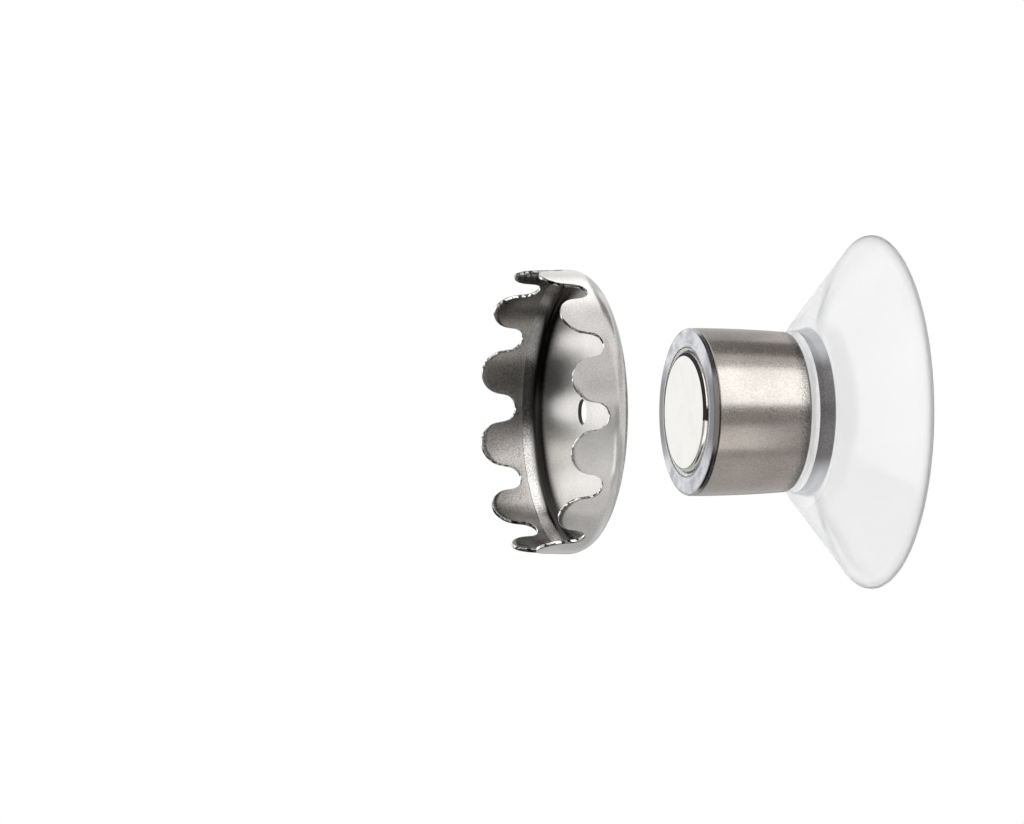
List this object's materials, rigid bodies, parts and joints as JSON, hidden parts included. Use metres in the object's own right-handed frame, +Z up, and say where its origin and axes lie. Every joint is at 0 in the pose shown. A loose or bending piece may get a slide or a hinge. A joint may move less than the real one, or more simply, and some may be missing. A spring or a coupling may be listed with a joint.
{
  "type": "magnetic soap holder",
  "caption": "Wall-mounted soap holder: a suction cup carries a disc magnet in a steel-sleeved clear core, and a lobed steel crown cap, pressed into the bar, clings to the magnet.",
  "frame": {"origin": "centre of the suction cup's flat sealing lip, on the wall plane", "axes": "+Y along the common axis into the wall, -Y out into the room, +Z up"},
  "size_m": [0.0474, 0.0492, 0.0474],
  "materials": {
    "clear_soft_vinyl": "soft clear vinyl, smooth and slightly milky",
    "clear_moulded_plastic": "clear, glossy moulded",
    "brushed_stainless": "satin brushed",
    "nickel_plate": "mirror bright nickel plate",
    "tumbled_stainless": "tumbled satin with a fine grain"
  },
  "bodies": {
    "cup": {"suction_cup": "clear_soft_vinyl"},
    "holder": {"magnet_core": "clear_moulded_plastic", "steel_sleeve": "brushed_stainless", "magnet": "nickel_plate"},
    "cap": {"crown_cap": "tumbled_stainless"}
  },
  "joints": [
    {"name": "cup_press", "type": "slide", "parent": "cup", "child": "holder", "axis": [0, 1, 0], "range_m": [0, 0.0055], "stiffness_N_per_m": 2500, "deforming": ["suction_cup"]},
    {"name": "cap_seat", "type": "slide", "parent": "holder", "child": "cap", "axis": [0, 1, 0], "range_m": [0, 0.0138]}
  ]
}
